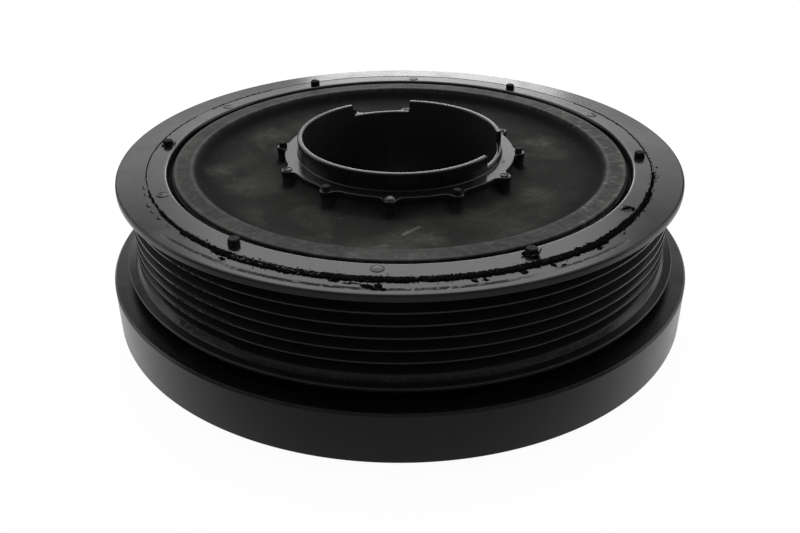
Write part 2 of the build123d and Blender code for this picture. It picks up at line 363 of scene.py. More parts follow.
@dataclass(frozen=True)
class Rubber:
    """Matt black rubber with grey handling dust, rubbed patches and fine scratches, and painted
    light on the bead: a paler crown at the back and sides, painted highlights along its edges and a
    paler band beside it at the front.
    """

    name: str
    colour: Colour = (0.013, 0.013, 0.0127)
    dust_and_light_colour: Colour = (0.20, 0.20, 0.186)
    roughness: float = 0.6
    # strength of the dust, and of the painted light on the bead
    dust: float = 0.34
    scratches: float = 0.6
    shine: float = 0.2
    crown_radii: Point = (63.5, 69.4)  # radii of the bead's crown: dusty, painted paler at the back and sides, with painted highlights along its edges
    pale_above: float = 99.0  # height above which the tops are paler
    disc: Point = (61.5, 51.0)  # radii over which the disc turns paler towards the boss
    bowl: Point = (52.0, 57.0)  # the same, for a band beside the bead painted paler at the front only: painted light on the slope that faces the lamps there
    rubbed_places: tuple[tuple[float, float, float], ...] = ()  # bearing, radius, reach
    strokes: tuple[Stroke, ...] = ()

    def build(self) -> Material:
        """Builds the rubber.

        Returns:
            The material.
        """
        material, place = new_material(self.name)
        fine = place.cloud(0.5)
        haze = place.cloud(17.0, 5.0, 1.2).ramp(0.38, 0.70)
        mottle = place.cloud(2.6, 4.0, 0.5).ramp(0.35, 0.72)
        inner, outer = (r * MM for r in self.crown_radii)
        crown = place.radius.ramp(inner - 1.4 * MM, inner + 0.6 * MM)
        crown = crown * place.radius.ramp(outer + 0.5 * MM, outer)
        # painted light: rear is 0 at the front and 1 from the sides round the back. With it the
        # band beside the bead is painted paler at the front only, and the crown is painted paler,
        # with stronger painted highlights on its edges, away from the front.
        rear = (place.y / place.radius).ramp(-0.97, -0.5)
        disc, bowl = (place.radius.ramp(a * MM, b * MM) for a, b in (self.disc, self.bowl))
        pale_zones = disc + crown + bowl * (1 - crown) * (1 - rear) * 0.8
        # painted highlights along the crown's inner and outer edges
        crown_edge_highlights = sum(((place.radius - edge).size().ramp(0.9 * MM, 0.0)
                    for edge in (inner + 0.5 * MM, outer - 0.7 * MM)), 0.0)
        marks = self.scratch(place, 0.6) + self.scratch(place, 2.1)
        grit = place.cloud(0.7).ramp(0.45, 0.75)
        dust_and_painted_light = pale_zones * (haze * 0.35 + 0.3 + grit * haze * 0.5 + marks * self.scratches)
        # on the crown: mottled dust, painted light that grows away from the front, and the painted
        # edge highlights
        dust_and_painted_light = dust_and_painted_light + crown * (mottle * 0.5 + rear * 0.12 - 0.22 + crown_edge_highlights * (rear * 0.6 + 0.1))
        dust_and_painted_light = dust_and_painted_light + self.rubbed(place) * (mottle * 0.7 + 0.4)
        dust_and_painted_light = dust_and_painted_light + place.cloud(1.1, 1.0).ramp(0.755, 0.79) * 1.5
        dust_and_painted_light = dust_and_painted_light + self.scuffs(place) * crown
        dust_and_painted_light = dust_and_painted_light + place.height.ramp((self.pale_above - 0.35) * MM, self.pale_above * MM)
        dust_and_painted_light = dust_and_painted_light * (fine * 1.3 + 0.35) * self.dust
        for stroke in self.strokes:
            dust_and_painted_light = dust_and_painted_light + stroke.mask(place) * (fine * 0.8 + 0.2)
        colour = place.graph.blend(dust_and_painted_light.smaller(1.0), self.colour, self.dust_and_light_colour)
        roughness = (1 - crown) * 0.35 + self.roughness
        close_material(place.graph, colour, roughness, fine, 0.04, Specular_IOR_Level=self.shine)
        return material

    @staticmethod
    def scratch(place: Place, turn: float) -> Sock:
        """Fine straight scratches that lie one way.

        Args:
            place: The point's place.
            turn: Direction of the scratches in radians.

        Returns:
            A mask from 0 to 1.
        """
        along = place.x * math.cos(turn) + place.y * math.sin(turn)
        across = place.y * math.cos(turn) - place.x * math.sin(turn)
        stretched = place.graph.vector(along * 0.12, across * 2.4, turn * MM)
        lines = place.graph.cloud(stretched, 1.4, 2.0).ramp(0.66, 0.74)
        return lines * place.cloud(6.0, 2.0).ramp(0.5, 0.68)

    @staticmethod
    def scuffs(place: Place) -> Sock:
        """Pale scuffs that run outwards across the bead, most of them on the +X side.

        Args:
            place: The point's place.

        Returns:
            A mask from 0 to about 2.
        """
        along = place.bearing * 0.09
        fan = place.graph.vector(place.radius * 0.4 + place.bearing * 0.006, along, 0.0)
        side = (place.x / place.radius).ramp(0.45, 0.97)
        return place.graph.cloud(fan, 1.5, 4.0).ramp(0.56, 0.68) * (side * 2.2 + 0.15)

    def rubbed(self, place: Place) -> Any:
        """Mask of the places that handling has rubbed pale.

        Args:
            place: The point's place.

        Returns:
            A mask from 0 to 1, or 0 if there are none.
        """
        rubbed = 0.0
        for bearing, radius, reach in self.rubbed_places:
            spot = on_circle(radius, bearing, 0.0)
            away = (place.x - spot.x * MM).across(place.y - spot.y * MM)
            rubbed = away.ramp(reach * MM, 0.0) + rubbed
        return rubbed


@dataclass(frozen=True)
class Gloss:
    """Black stuff with a lumpy skin that sparkles in places: set sealant, cut plugs, torn flash."""

    name: str
    colour: Colour = (0.003, 0.003, 0.003)
    roughness: float = 0.16  # where it shines
    dullness: float = 0.5  # roughness elsewhere
    shining: float = 0.5  # share that shines
    lumps: float = 0.25  # depth of the lumps
    grain: float = 0.5
    shine: float = 0.4

    def build(self) -> Material:
        """Builds the glossy skin.

        Returns:
            The material.
        """
        material, place = new_material(self.name)
        level = 0.68 - 0.36 * self.shining
        wet = place.cloud(1.9).ramp(level - 0.06, level + 0.06)
        roughness = wet * (self.roughness - self.dullness) + self.dullness
        close_material(place.graph, (*self.colour, 1.0), roughness, place.cloud(self.grain),
                       self.lumps, Specular_IOR_Level=self.shine)
        return material


# --- meshes ---


def turned_by(spot: Vector, turn: float) -> Vector:
    """Flat vector turned about the axis by an angle in radians."""
    c, s = math.cos(turn), math.sin(turn)
    return Vector((spot.x * c - spot.y * s, spot.x * s + spot.y * c))


def on_circle(radius: float, bearing: float, height: float) -> Vector:
    """Point on a circle about the axis, in millimetres."""
    angle = math.radians(bearing)
    return Vector((radius * math.cos(angle), radius * math.sin(angle), height))


def rounded(corners: Sequence[Corner], steps: int = 3) -> list[Point]:
    """Outline with an arc at each rounded corner and a short edge beside each arc.

    Args:
        corners: The corners in order. The last joins the first, unless both are sharp.
        steps: Facets of an arc.

    Returns:
        The outline's points in millimetres.
    """
    points: list[Point] = []
    for n, corner in enumerate(corners):
        here = Vector(corner[:2])
        if len(corner) < 3:
            points.append(tuple(here))
            continue
        legs = [Vector(corners[m % len(corners)][:2]) - here for m in (n - 1, n + 1)]
        half = legs[0].angle(legs[1]) / 2
        cut, (back, ahead) = corner[2] / math.tan(half), (leg.normalized() for leg in legs)
        centre = here + (back + ahead).normalized() * (corner[2] / math.sin(half))
        start, end = here + back * cut - centre, here + ahead * cut - centre
        turn = start.angle_signed(end)
        beside = min(BESIDE, 0.2 * corner[2])
        arc = [centre + turned_by(start, -turn * step / steps) for step in range(steps + 1)]
        if legs[0].length > cut + 6 * beside:
            arc.insert(0, centre + start + back * beside)
        if legs[1].length > cut + 6 * beside:
            arc.append(centre + end + ahead * beside)
        points += [tuple(spot) for spot in arc]
    return points


def linked(name: str, data: bpy.types.ID) -> Piece:
    """Object with its own data, at the scene's origin.

    Args:
        name: The object's name.
        data: Its mesh, lamp or camera.

    Returns:
        The object.
    """
    made = bpy.data.objects.new(name, data)
    bpy.context.scene.collection.objects.link(made)
    return made


def new_piece(name: str, points: Sequence[Sequence[float]],
              faces: Sequence[Sequence[int]] = (), edges: Sequence[Sequence[int]] = ()) -> Piece:
    """Piece from points in millimetres.

    Args:
        name: The piece's name.
        points: Its vertices.
        faces: Its faces.
        edges: Its loose edges.

    Returns:
        The object, at the origin.
    """
    mesh = bpy.data.meshes.new(name)
    mesh.from_pydata([Vector(p) * MM for p in points], edges, faces)
    return linked(name, mesh)


def smooth(piece: Piece, recalculate: bool = True) -> Piece:
    """Merges doubles, turns the faces outwards and shades them smooth between sharp edges.

    Args:
        piece: The piece.
        recalculate: Whether the faces' directions are worked out again.

    Returns:
        The same piece.
    """
    work = bmesh.new()
    work.from_mesh(piece.data)
    bmesh.ops.remove_doubles(work, verts=work.verts, dist=MERGED)
    if recalculate:
        bmesh.ops.recalc_face_normals(work, faces=work.faces)
    work.to_mesh(piece.data)
    work.free()
    piece.data.shade_smooth()
    piece.data.set_sharp_from_angle(angle=SHARP_ANGLE)
    return piece


def baked(piece: Piece, modifier: bpy.types.Modifier) -> Piece:
    """Keeps what a modifier makes of a piece as its plain mesh.

    Args:
        piece: The piece.
        modifier: Its modifier, which is removed.

    Returns:
        The same piece.
    """
    graph = bpy.context.evaluated_depsgraph_get()
    mesh = bpy.data.meshes.new_from_object(piece.evaluated_get(graph), depsgraph=graph)
    piece.modifiers.remove(modifier)
    piece.data = mesh
    return piece


def swept(name: str, sections: Sequence[Sequence[Sequence[float]]], round_trip: bool = True,
          ring: bool = True) -> Piece:
    """Skin through cross-sections that have the same number of points.

    Args:
        name: The piece's name.
        sections: The cross-sections in order, in millimetres.
        round_trip: Whether the last section joins the first.
        ring: Whether each section is a closed ring.

    Returns:
        The piece, smooth.
    """
    size = len(sections[0])
    points = [p for section in sections for p in section]
    faces = []
    for n in range(len(sections) if round_trip else len(sections) - 1):
        here, there = n * size, (n + 1) % len(sections) * size
        for m in range(size if ring else size - 1):
            after = (m + 1) % size
            faces.append((here + m, there + m, there + after, here + after))
    if ring and not round_trip:
        faces += [tuple(range(size)), tuple(range(len(points) - size, len(points)))]
    return smooth(new_piece(name, points, faces))


def turned(name: str, outline: Sequence[Point], around: int = AROUND) -> Piece:
    """Closed outline of radii and heights, turned about the axis in so many facets."""
    spokes = [on_circle(1.0, 360 * n / around, 0.0) for n in range(around)]
    return swept(name, [[(r * spoke.x, r * spoke.y, z) for r, z in outline] for spoke in spokes])


def domed(name: str, outline: Sequence[Point], around: int = 20) -> Piece:
    """Solid turned about its own axis from an outline that starts and ends on it.

    Args:
        name: The piece's name.
        outline: Points in radius and height, from the foot to the top.
        around: Facets round the axis.

    Returns:
        The piece.
    """
    points = [(0.0, 0.0, outline[0][1]), (0.0, 0.0, outline[-1][1])]
    faces, rows = [], len(outline)
    for n in range(around):
        points += [on_circle(r, 360 * n / around, z) for r, z in outline]
        here, there = 2 + n * rows, 2 + (n + 1) % around * rows
        faces += [(here + m, there + m, there + m + 1, here + m + 1) for m in range(rows - 1)]
        faces += [(0, there, here), (1, here + rows - 1, there + rows - 1)]
    return smooth(new_piece(name, points, faces))


def join(name: str, pieces: Sequence[Piece]) -> Piece:
    """Joins pieces that have no material yet into one, and removes the parts.

    Args:
        name: Name of the new piece.
        pieces: The parts, all at the origin.

    Returns:
        The joined piece.
    """
    work = bmesh.new()
    for piece in pieces:
        work.from_mesh(piece.data)
        bpy.data.objects.remove(piece)
    mesh = bpy.data.meshes.new(name)
    work.to_mesh(mesh)
    work.free()
    mesh.set_sharp_from_angle(angle=SHARP_ANGLE)
    return linked(name, mesh)


# --- geometry trees ---


class Growth(Graph):
    """Geometry tree with named inputs, which ends in Realize Instances and Set Material."""

    SOCKETS = {float: "NodeSocketFloat", int: "NodeSocketInt", Piece: "NodeSocketObject",
               Material: "NodeSocketMaterial"}

    def __init__(self, name: str, **inputs: type) -> None:
        """Makes the tree and its inputs, the last of which is the material.

        Args:
            name: The tree's name.
            inputs: Type of each input by its name.
        """
        super().__init__(bpy.data.node_groups.new(name, "GeometryNodeTree"))
        new_socket = self.tree.interface.new_socket
        for way in ("INPUT", "OUTPUT"):
            new_socket("Geometry", in_out=way, socket_type="NodeSocketGeometry")
        for label, kind in {**inputs, "Material": Material}.items():
            new_socket(label, in_out="INPUT", socket_type=self.SOCKETS[kind])
        self.entry = self.node("NodeGroupInput")

    def given(self, label: str) -> Sock:
        """One of the tree's inputs."""
        return Sock(self, self.entry.outputs[label])

    def breadth(self) -> Sock:
        """Breadth that each point of a smeared line carries."""
        return self.add("GeometryNodeInputNamedAttribute", {"Name": "breadth"}, data_type="FLOAT")

    def chance(self, low: Any, high: Any, seed: Any) -> Sock:
        """Random value between two values, or random vector between two vectors."""
        kind, first, output = ("FLOAT_VECTOR", 0, 0) if isinstance(low, tuple) else ("FLOAT", 2, 1)
        return self.add("FunctionNodeRandomValue", {first: low, first + 1: high, "Seed": seed},
                        output, data_type=kind)

    def copies(self, points: Sock, piece: Sock, **sockets: Any) -> Sock:
        """Copies of a piece at points."""
        return self.add("GeometryNodeInstanceOnPoints",
                        {"Points": points, "Instance": piece, **sockets})

    def lofted(self, line: Sock, section: Sock, **sockets: Any) -> Sock:
        """Skin of a cross-section that keeps upright along a line."""
        upright = self.add("GeometryNodeSetCurveNormal", {0: line}, mode="Z_UP")
        return self.add("GeometryNodeCurveToMesh",
                        {"Curve": upright, "Profile Curve": section, **sockets})

    def close(self, shape: Sock) -> "Growth":
        """Ends the tree.

        Args:
            shape: The geometry, which may hold instances.

        Returns:
            The tree.
        """
        real = self.add("GeometryNodeRealizeInstances", {0: shape})
        even = self.add("GeometryNodeSetShadeSmooth", {0: real})
        painted = self.add("GeometryNodeSetMaterial", {0: even, "Material": self.given("Material")})
        self.node("NodeGroupOutput", {0: painted})
        return self

    def grow(self, seed_piece: Piece, **values: Any) -> Piece:
        """Runs the tree on a piece and keeps the result as a plain mesh.

        Args:
            seed_piece: Object whose mesh feeds the tree.
            values: Value of each named input.

        Returns:
            The same object with its new mesh and no modifier.
        """
        modifier = seed_piece.modifiers.new(self.tree.name, "NODES")
        modifier.node_group = self.tree
        for item in self.tree.interface.items_tree:
            if item.in_out == "INPUT" and item.name in values:
                modifier[item.identifier] = values[item.name]
        return baked(seed_piece, modifier)


def station_tree() -> Growth:
    """Tree that sets copies of a piece at even stations on a circle.

    Returns:
        The tree.
    """
    g = Growth("stations", Radius=float, Count=int, Phase=float, Spread=float, Seed=int)
    count, radius, spread = g.given("Count"), g.given("Radius"), g.given("Spread")
    turn = g.add("GeometryNodeInputIndex") * (2 * math.pi) / count + g.given("Phase")
    spots = g.vector(turn.cosine() * radius, turn.sine() * radius, 0.0)
    row = g.add("GeometryNodeMeshLine", {"Count": count})
    ring = g.add("GeometryNodeSetPosition", {0: row, "Position": spots})
    size = g.chance(1 - spread, spread + 1, g.given("Seed"))
    return g.close(g.copies(ring, g.given("Geometry"), Rotation=g.vector(0.0, 0.0, turn),
                            Scale=g.vector(size, size, 1.0)))


def rib_tree() -> Growth:
    """Tree that repeats one groove up the rim, joins the flanges and turns the whole.

    Returns:
        The tree.
    """
    g = Growth("ribs", Count=int, Pitch=float, Flanges=Piece, Path=float, Around=int)
    up = g.vector(0.0, 0.0, g.given("Pitch"))
    row = g.add("GeometryNodeMeshLine", {"Count": g.given("Count"), "Offset": up})
    real = g.add("GeometryNodeRealizeInstances", {0: g.copies(row, g.given("Geometry"))})
    flanges = g.add("GeometryNodeObjectInfo", {"Object": g.given("Flanges")}, "Geometry")
    both = g.node("GeometryNodeJoinGeometry")
    for part in (real, flanges):
        g.tree.links.new(part.socket, both.inputs[0])
    whole = Sock(g, both.outputs[0])
    outline = g.add("GeometryNodeMergeByDistance", {0: whole, "Distance": WELDED})
    inward = g.vector(g.given("Path") * -1.0, 0.0, 0.0)
    centred = g.add("GeometryNodeTransform", {0: outline, "Translation": inward})
    lying = g.add("GeometryNodeTransform", {0: centred, "Rotation": (math.pi / 2, 0.0, 0.0)})
    path = g.add("GeometryNodeCurvePrimitiveCircle",
                 {"Resolution": g.given("Around"), "Radius": g.given("Path")})
    return g.close(g.lofted(path, g.add("GeometryNodeMeshToCurve", {0: lying})))


def bead_tree() -> Growth:
    """Tree that lays a lumpy bead along a line whose points have their own breadth.

    Returns:
        The tree.
    """
    g = Growth("bead", Lump=float, Grain=float, Flatness=float)
    line = g.add("GeometryNodeMeshToCurve", {0: g.given("Geometry")})
    section = g.add("GeometryNodeCurvePrimitiveCircle", {"Resolution": 10, "Radius": 1.0})
    low = g.add("GeometryNodeTransform",
                {0: section, "Scale": g.vector(1.0, g.given("Flatness"), 1.0)})
    skin = g.lofted(line, low, Scale=g.breadth(), **{"Fill Caps": True})
    place = g.add("GeometryNodeInputPosition")
    wander = g.add("ShaderNodeTexNoise",
                   {"Vector": place, "Scale": 1 / g.given("Grain"), "Detail": 3.0}, "Color")
    centred = g.add("ShaderNodeVectorMath", {0: wander, 1: (0.5, 0.5, 0.5)}, operation="SUBTRACT")
    push = g.scaled(centred, g.given("Lump"))
    return g.close(g.add("GeometryNodeSetPosition", {0: skin, "Offset": push}))


def crumb_tree() -> Growth:
    """Tree that scatters crumbs and droplets beside the points of a line.

    Returns:
        The tree.
    """
    g = Growth("crumbs", Share=float, Reach=float, Smallest=float, Largest=float, Seed=int)
    seed = g.given("Seed")
    picked = g.add("FunctionNodeRandomValue", {"Probability": g.given("Share"), "Seed": seed}, 3,
                   data_type="BOOLEAN")
    aside = g.chance((-1.0, -1.0, -0.15), (1.0, 1.0, 0.15), seed + 1)
    step = g.scaled(aside, g.breadth() + g.given("Reach"))
    moved = g.add("GeometryNodeSetPosition", {0: g.given("Geometry"), "Offset": step})
    points = g.add("GeometryNodeMeshToPoints", {0: moved, "Selection": picked})
    size = g.chance(g.given("Smallest"), g.given("Largest"), seed + 2)
    squash = g.chance((0.6, 0.6, 0.35), (1.5, 1.0, 0.8), seed + 3)
    lean = g.chance((-0.3, -0.3, 0.0), (0.3, 0.3, 6.3), seed + 4)
    drop = g.add("GeometryNodeMeshUVSphere", {"Segments": 8, "Rings": 5, "Radius": 1.0})
    return g.close(g.copies(points, drop, Rotation=lean, Scale=g.scaled(squash, size)))


# --- what the solids fix ---


@dataclass(frozen=True)
class Datum:
    """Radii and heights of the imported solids, in millimetres."""

    outer: float  # inertia ring
    land_top: float
    flange: float  # belt rim
    rim_low: float
    rim_top: float
    seat: float  # coupling ring
    ring_low: float
    ring_top: float
    sleeve_low: float
    collar_top: float

    @classmethod
    def from_frame(cls) -> "Datum":
        """Reads the sizes from the boxes of the CAD nodes.

        Returns:
            The datum.
        """
        ring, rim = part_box("inertia_ring"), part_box("pulley_rim")
        plate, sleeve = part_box("coupling_outer_ring"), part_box("inner_sleeve")
        return cls(outer=ring[1].x / MM, land_top=ring[1].z / MM,
                   flange=rim[1].x / MM, rim_low=rim[0].z / MM, rim_top=rim[1].z / MM,
                   seat=plate[1].x / MM, ring_low=plate[0].z / MM,
                   ring_top=plate[1].z / MM + PAINTED_UP,
                   sleeve_low=sleeve[0].z / MM, collar_top=sleeve[1].z / MM)


class Station(Enum):
    """Which of the twelve stations round the coupling: with a standing peg, or cut flush."""

    STANDING = 1
    FLUSH = 0


@dataclass(frozen=True)
class Stations:
    """Twelve stations that the ring, the sleeve and the rubber share."""

    count: int = 12
    phase: float = 25.8
    ring_circle: float = 74.05
    lobe_circle: float = 36.95

    def bearings(self, kind: Station | None = None) -> list[float]:
        """Bearings of the stations of one kind, or of all, in degrees."""
        step = 360 / self.count
        return [self.phase + step * n for n in range(self.count)
                if kind is None or n % 2 == kind.value]


def finish_piece(piece: Piece, slot: str, *nodes: str,
                 material: Material | None = None) -> Piece:
    """Dresses a piece and sets it on the damper's one body.

    Args:
        piece: The piece.
        slot: Name of a material slot in the record; not used.
        nodes: CAD nodes that the piece stands for.
        material: Its material, if it has none yet.

    Returns:
        The same piece.
    """
    if material is not None:
        piece.data.materials.clear()
        piece.data.materials.append(material)
    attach(piece, "root")
    if nodes:
        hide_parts(*nodes)
    logging.info("%s: %d faces", piece.name, len(piece.data.polygons))
    return piece


# --- sub-assemblies ---


@dataclass
class InertiaRing:
    """Wide cast ring below the belt rim, turned and coated."""

    datum: Datum
    bore: float = 66.0
    shelf: float = 15.4
    land: float = 74.4
    edge: float = 0.6
    softness: float = 0.18

    def build(self) -> Piece:
        """Turns the ring with its chamfers softened by the coat.

        Returns:
            The ring.
        """
        out, top = self.datum.outer, self.datum.land_top
        bore, e, s = self.bore, self.edge, self.softness
        corners = [(bore + e, 0, s), (out - e, 0, s), (out, e, s), (out, self.shelf - e, s),
                   (out - e, self.shelf, s), (self.land, self.shelf), (self.land, top - e, s),
                   (self.land - e, top, s), (bore + e, top, s), (bore, top - e, s), (bore, e, s)]
        return turned("inertia_ring_turned", rounded(corners), AROUND_WIDE)

    def dress(self) -> None:
        """Builds the ring and coats it."""
        edge = Edge(self.datum.outer - self.edge / 2, self.shelf - self.edge / 2, 0.5)
        coat = Coat("inertia_coat", colour=(0.007, 0.007, 0.0075), roughness=0.22, peel=0.003,
                    turning=0.55, dust=0.12, edges=(edge,))
        finish_piece(self.build(), "coated_iron", "inertia_ring", material=coat.build())


@dataclass
class BeltRim:
    """Grooved rim between two flanges, with the seat of the coupling ring."""

    datum: Datum
    bore: float = 75.96
    rib_count: int = 6
    rib_pitch: float = 3.56
    groove_angle: float = 40.0
    crest: float = 82.6
    crest_flat: float = 0.45
    root_flat: float = 0.9
    first_crest: float = 4.2  # above the rim's lower face
    edge_lift: float = 1.6
    edge_height: float = 1.0
    edge_taper: float = 0.35  # the lower flange narrows downwards by this much
    shelf_rise: float = 0.4  # of the lower flange's upper face, from the lip inwards
    shelf_run: float = 0.75  # width of the hollow at that face's foot
    band: float = 2.1
    lip: float = 0.7
    face_fall: float = 0.22  # of the upper face, from the seam to the lip
    crease: tuple[Mark, ...] = (Mark(-95, 31, 83.4, 0.8, 1.0), Mark(-129, 9, 82.7, 0.7, 0.9),
                                Mark(-55, 10, 83.0, 0.6, 0.8))
    seam_width: float = 0.1
    seam_depth: float = 0.1
    around: int = 240

    def groove(self) -> list[Point]:
        """One groove from the middle of a crest to the middle of the next.

        Returns:
            The groove's points.
        """
        half_root = self.root_flat / 2
        half_mouth = (self.rib_pitch - self.crest_flat) / 2
        root = self.crest - (half_mouth - half_root) / math.tan(math.radians(self.groove_angle / 2))
        low = self.datum.rim_low + self.first_crest
        middle = low + self.rib_pitch / 2
        corners = [(self.crest, low), (self.crest, middle - half_mouth, 0.12),
                   (root, middle - half_root, 0.3), (root, middle + half_root, 0.3),
                   (self.crest, middle + half_mouth, 0.12), (self.crest, low + self.rib_pitch)]
        return rounded(corners)

    def flanges(self) -> list[Point]:
        """The rest of the outline, from the last crest over the top to the first.

        Returns:
            The points, in the order that follows the grooves.
        """
        d, crest = self.datum, self.crest
        low = d.rim_low + self.first_crest
        last = low + self.rib_count * self.rib_pitch
        edge = d.rim_low + self.edge_lift
        lip = edge + self.edge_height
        corners = [
            (crest, last), (crest, last + self.crest_flat / 2, 0.12),
            (d.flange, d.rim_top - self.band, 0.25),
            (d.flange, d.rim_top - self.face_fall, self.lip),
            (d.seat + self.seam_width, d.rim_top, 0.08), (d.seat, d.rim_top - self.seam_depth),
            (d.seat, d.ring_low), (self.bore, d.ring_low), (self.bore, d.rim_low, 0.3),
            (crest, d.rim_low, 0.3), (d.flange - self.edge_taper, edge, 0.25),
            (d.flange, lip, self.lip / 2), (crest + self.shelf_run, lip + self.shelf_rise, 0.7),
            (crest, low - 0.1, 0.1), (crest, low),
        ]
        return rounded(corners, 4)

    def build(self, material: Material) -> Piece:
        """Repeats the groove, joins the flanges and turns the outline.

        Args:
            material: The rim's coat.

        Returns:
            The rim.
        """
        lines = {"belt_rim": self.groove(), "rim_flanges": self.flanges()}
        piece, helper = (new_piece(name, [(r, 0.0, z) for r, z in line],
                                   edges=[(n, n + 1) for n in range(len(line) - 1)])
                         for name, line in lines.items())
        rib_tree().grow(piece, Count=self.rib_count, Pitch=self.rib_pitch * MM, Flanges=helper,
                        Path=self.crest * MM, Around=self.around, Material=material)
        bpy.data.objects.remove(helper)
        return smooth(piece)

    def dress(self) -> None:
        """Builds the rim with its coat, worn at the crests and lips."""
        d = self.datum
        low = d.rim_low + self.first_crest
        edges = [Edge(self.crest, low + n * self.rib_pitch, 0.14)
                 for n in range(1, self.rib_count + 1)]
        edges.append(Edge(d.flange, d.rim_low + self.edge_lift + self.edge_height, 0.25))
        coat = Coat("rim_coat", colour=(0.019, 0.019, 0.0195), roughness=0.2, peel=0.0012,
                    turning=0.5, dust=0.12, bare=(0.045, 0.045, 0.046), edges=tuple(edges),
                    scored=self.crease)
        finish_piece(self.build(coat.build()), "coated_steel", "pulley_rim")


@dataclass
class CouplingRing:
    """Flat ring pressed into the belt rim, with a rolled edge at its bore."""

    datum: Datum
    bore: float = 71.05
    rolled: float = 0.9  # radius of the rolled upper edge of the bore
    rubs: tuple[Mark, ...] = (Mark(-169.3, 0.3, 74.0, 3.0, 0.3), Mark(-21.7, 0.35, 74.2, 3.0, 0.3),
                              Mark(12.0, 0.5, 73.0, 1.6, 0.25), Mark(-101.0, 0.5, 73.6, 1.4, 0.3))

    def dress(self) -> None:
        """Turns the ring and coats it."""
        d = self.datum
        corners = [(self.bore, d.ring_low, 0.1), (d.seat, d.ring_low, 0.1),
                   (d.seat, d.ring_top, 0.07), (self.bore, d.ring_top, self.rolled)]
        piece = turned("coupling_ring_plate", rounded(corners, 7))
        coat = Coat("ring_coat", roughness=0.18, peel=0.001, turning=0.15, dust=0.14,
                    rubbed=self.rubs)
        finish_piece(piece, "coated_steel", "coupling_outer_ring", material=coat.build())


